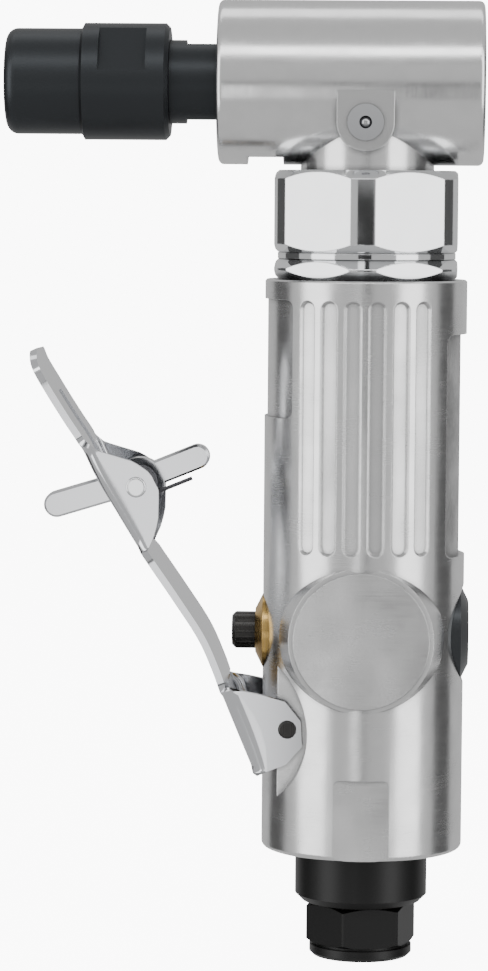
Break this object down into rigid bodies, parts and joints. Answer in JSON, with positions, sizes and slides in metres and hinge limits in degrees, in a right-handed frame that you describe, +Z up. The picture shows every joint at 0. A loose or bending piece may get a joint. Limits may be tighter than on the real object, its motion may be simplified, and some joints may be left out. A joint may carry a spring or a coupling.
{
  "type": "angle die grinder",
  "caption": "Right-angle air die grinder with collet, bevel gear head, vane motor barrel, lever throttle with safety catch, speed regulator and threaded air inlet.",
  "frame": {"origin": "centre of the air inlet's mouth, on the motor axis", "axes": "+Z up the motor axis towards the head, -X along the spindle towards the collet, where the lever also is, and -Y towards the side with the grease fitting"},
  "size_m": [0.0829, 0.0358, 0.1672],
  "materials": {
    "cast_aluminium": "brushed and polished casting",
    "chrome_plate": "mirror plated",
    "nickel_plate": "bright nickel plated sheet steel",
    "black_oxide": "black oxide, satin",
    "matte_black": "matte black oxide",
    "black_button": "black, ribbed",
    "black_anodised": "black anodised",
    "brass": "turned",
    "bearing_steel": "ground",
    "machined_steel": "turned",
    "motor_iron": "ground",
    "vane_laminate": "smooth",
    "rubber_black": "smooth",
    "gasket_fibre": "matte",
    "felt": "fibrous",
    "spring_wire": "drawn"
  },
  "bodies": {
    "tool_body": {"body_housing": "cast_aluminium", "coupling_nut": "chrome_plate", "exhaust_deflector": "matte_black", "exhaust_silencer": "felt", "grease_check_ball": "bearing_steel", "grease_fitting": "nickel_plate", "head_housing": "cast_aluminium", "head_rear_cap": "machined_steel", "inlet_bushing": "matte_black", "inlet_oring": "rubber_black", "inlet_screen": "brass", "lever_pin": "black_oxide", "locating_pin": "bearing_steel", "lock_ring": "chrome_plate", "motor_cylinder": "motor_iron", "motor_front_bearing_outer": "bearing_steel", "motor_front_plate": "motor_iron", "motor_gasket": "gasket_fibre", "motor_rear_bearing_outer": "bearing_steel", "motor_rear_plate": "motor_iron", "pinion_bearing_outer": "bearing_steel", "pinion_retainer": "machined_steel", "regulator_snap_ring": "spring_wire", "spindle_front_bearing_outer": "bearing_steel", "spindle_rear_bearing_outer": "bearing_steel", "spindle_retainer": "black_oxide", "spindle_seal": "rubber_black", "valve_bushing": "brass", "valve_spring": "spring_wire"},
    "rotor_group": {"rotor": "machined_steel", "rotor_vanes": "vane_laminate", "pinion_shaft": "machined_steel", "motor_rear_bearing_inner": "bearing_steel", "motor_front_bearing_inner": "bearing_steel", "pinion_bearing_inner": "bearing_steel"},
    "spindle_group": {"spindle": "black_oxide", "bevel_gear": "machined_steel", "gear_nut": "machined_steel", "collet": "machined_steel", "collet_nut": "black_oxide", "spindle_front_bearing_inner": "bearing_steel", "spindle_rear_bearing_inner": "bearing_steel"},
    "lever_group": {"lever": "nickel_plate", "catch_pin": "nickel_plate", "catch_spring": "spring_wire"},
    "catch_group": {"safety_catch": "nickel_plate"},
    "valve_group": {"valve_stem": "black_button", "valve_seal": "rubber_black"},
    "regulator_group": {"regulator_knob": "black_anodised", "regulator_oring": "rubber_black"},
    "motor_front_bearing_balls_set": {"motor_front_bearing_balls": "bearing_steel"},
    "motor_rear_bearing_balls_set": {"motor_rear_bearing_balls": "bearing_steel"},
    "pinion_bearing_balls_set": {"pinion_bearing_balls": "bearing_steel"},
    "spindle_front_bearing_balls_set": {"spindle_front_bearing_balls": "bearing_steel"},
    "spindle_rear_bearing_balls_set": {"spindle_rear_bearing_balls": "bearing_steel"}
  },
  "joints": [
    {"name": "lever_pivot", "type": "hinge", "parent": "tool_body", "child": "lever_group", "pos_m": [-0.0129, 0, 0.0413], "axis": [0, 1, 0], "range_deg": [0, 15], "stiffness_Nm_per_rad": 0.3, "springref_deg": -11.46},
    {"name": "catch_pivot", "type": "hinge", "parent": "lever_group", "child": "catch_group", "pos_m": [-0.0393, 0, 0.08315], "axis": [0, 1, 0], "range_deg": [0, 57], "deforming": ["catch_spring"]},
    {"name": "valve_slide", "type": "slide", "parent": "tool_body", "child": "valve_group", "axis": [1, 0, 0], "range_m": [0, 0.002], "deforming": ["valve_spring"]},
    {"name": "rotor_spin", "type": "hinge", "parent": "tool_body", "child": "rotor_group", "pos_m": [0, 0, 0.088], "axis": [0, 0, 1], "continuous": true},
    {"name": "spindle_spin", "type": "hinge", "parent": "tool_body", "child": "spindle_group", "pos_m": [0, 0, 0.153], "axis": [1, 0, 0], "continuous": true},
    {"name": "regulator_turn", "type": "hinge", "parent": "tool_body", "child": "regulator_group", "pos_m": [0.012, 0, 0.0573], "axis": [1, 0, 0], "range_deg": [-60, 60]},
    {"name": "motor_front_bearing_roll", "type": "hinge", "parent": "tool_body", "child": "motor_front_bearing_balls_set", "pos_m": [0, 0, 0.1055], "axis": [0, 0, 1], "continuous": true},
    {"name": "motor_rear_bearing_roll", "type": "hinge", "parent": "tool_body", "child": "motor_rear_bearing_balls_set", "pos_m": [0, 0, 0.071], "axis": [0, 0, 1], "continuous": true},
    {"name": "pinion_bearing_roll", "type": "hinge", "parent": "tool_body", "child": "pinion_bearing_balls_set", "pos_m": [0, 0, 0.1365], "axis": [0, 0, 1], "continuous": true},
    {"name": "spindle_front_bearing_roll", "type": "hinge", "parent": "tool_body", "child": "spindle_front_bearing_balls_set", "pos_m": [-0.018, 0, 0.153], "axis": [1, 0, 0], "continuous": true},
    {"name": "spindle_rear_bearing_roll", "type": "hinge", "parent": "tool_body", "child": "spindle_rear_bearing_balls_set", "pos_m": [0.0129, 0, 0.153], "axis": [1, 0, 0], "continuous": true}
  ],
  "couplings": [
    {"joint": "catch_pivot", "follows": "lever_pivot", "ratio": 3.8},
    {"joint": "valve_slide", "follows": "lever_pivot", "m_per_rad": 0.00762},
    {"joint": "spindle_spin", "follows": "rotor_spin", "ratio": 0.77778},
    {"joint": "motor_front_bearing_roll", "follows": "rotor_spin", "ratio": 0.4},
    {"joint": "motor_rear_bearing_roll", "follows": "rotor_spin", "ratio": 0.4},
    {"joint": "pinion_bearing_roll", "follows": "rotor_spin", "ratio": 0.4},
    {"joint": "spindle_front_bearing_roll", "follows": "rotor_spin", "ratio": 0.31111},
    {"joint": "spindle_rear_bearing_roll", "follows": "rotor_spin", "ratio": 0.29314}
  ]
}
